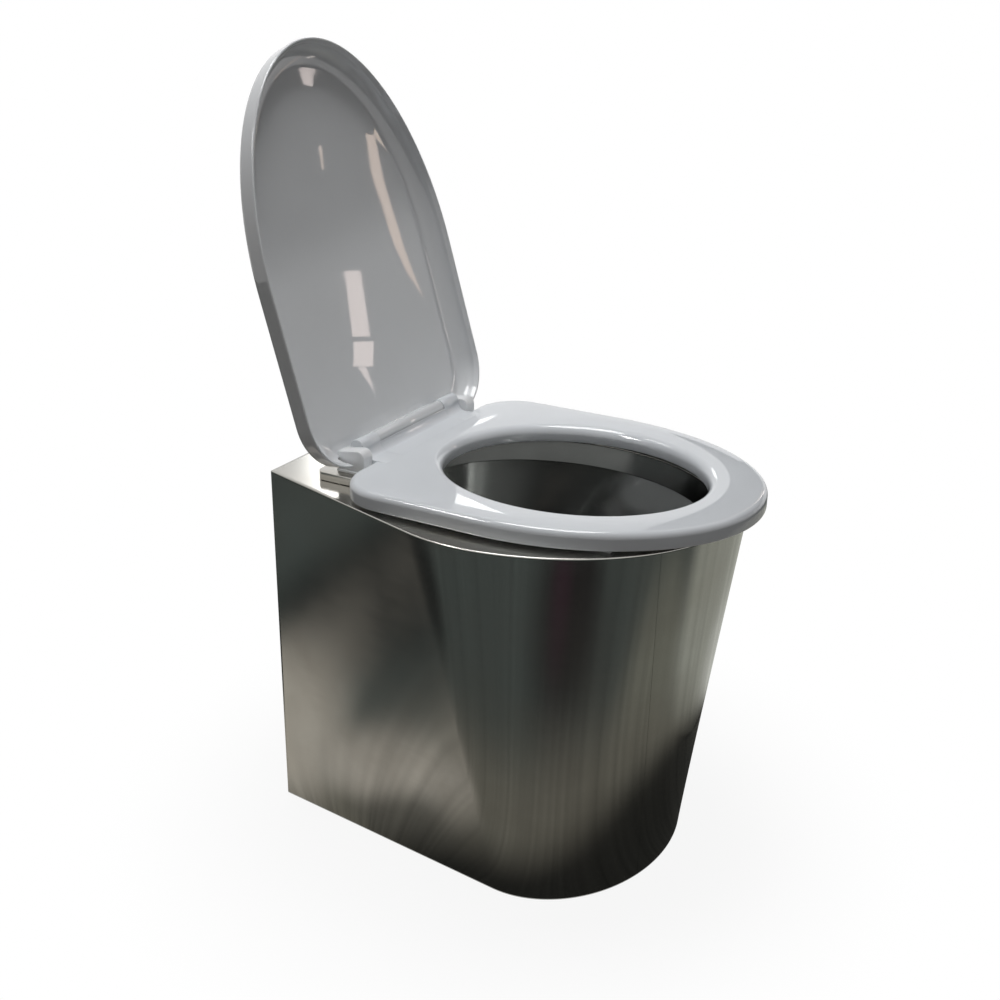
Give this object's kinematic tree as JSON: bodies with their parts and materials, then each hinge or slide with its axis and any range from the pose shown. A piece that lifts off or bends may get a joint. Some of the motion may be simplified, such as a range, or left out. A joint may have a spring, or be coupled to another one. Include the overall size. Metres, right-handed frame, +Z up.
{
  "type": "stainless steel toilet",
  "caption": "Floor-standing pan wrapped in brushed stainless sheet, with a white seat ring and a dished lid standing open on a rear hinge.",
  "frame": {"origin": "on the floor, under the middle of the whole object's box at rest", "axes": "+Z up, -Y towards the toilet's front, +X to the seated person's left"},
  "size_m": [0.4038, 0.5508, 0.8547],
  "materials": {
    "pan_steel": "satin brushed stainless sheet",
    "bowl_steel": "brushed stainless sheet",
    "pipe_steel": "drawn stainless tube",
    "hinge_steel": "polished stainless steel",
    "post_plastic": "glossy moulded",
    "seat_plastic": "glossy moulded",
    "lid_plastic": "glossy moulded",
    "nut_plastic": "moulded",
    "buffer_rubber": "soft moulded",
    "washer_rubber": "soft moulded"
  },
  "bodies": {
    "pan": {"floor_tab_front_left": "pan_steel", "floor_tab_front_right": "pan_steel", "floor_tab_rear_left": "pan_steel", "floor_tab_rear_right": "pan_steel", "bowl_body": "bowl_steel", "bowl_collar": "bowl_steel", "deck_plate": "pan_steel", "deck_stiffener": "pan_steel", "hinge_base_left": "hinge_steel", "hinge_base_right": "hinge_steel", "hinge_post_left": "post_plastic", "hinge_post_right": "post_plastic", "hinge_rod": "hinge_steel", "hinge_stud_left": "hinge_steel", "hinge_stud_right": "hinge_steel", "inlet_pipe": "pipe_steel", "inlet_ring": "pan_steel", "outlet_ring": "pan_steel", "outlet_spigot": "pipe_steel", "rear_panel": "pan_steel", "rubber_washer_left": "washer_rubber", "rubber_washer_right": "washer_rubber", "skirt_front": "pan_steel", "skirt_left": "pan_steel", "skirt_right": "pan_steel", "steel_washer_left": "hinge_steel", "steel_washer_right": "hinge_steel", "trap_bend": "pipe_steel", "wing_nut_left": "nut_plastic", "wing_nut_right": "nut_plastic"},
    "seat": {"seat_ring": "seat_plastic", "seat_buffer_front_left": "buffer_rubber", "seat_buffer_front_right": "buffer_rubber", "seat_buffer_rear_left": "buffer_rubber", "seat_buffer_rear_right": "buffer_rubber"},
    "lid": {"lid_shell": "lid_plastic"}
  },
  "joints": [
    {"name": "seat_hinge", "type": "hinge", "parent": "pan", "child": "seat", "pos_m": [0, 0.13961, 0.4484], "axis": [-1, 0, 0], "range_deg": [0, 104]},
    {"name": "lid_hinge", "type": "hinge", "parent": "pan", "child": "lid", "pos_m": [0, 0.13961, 0.4484], "axis": [-1, 0, 0], "range_deg": [-106.57, 0]}
  ]
}
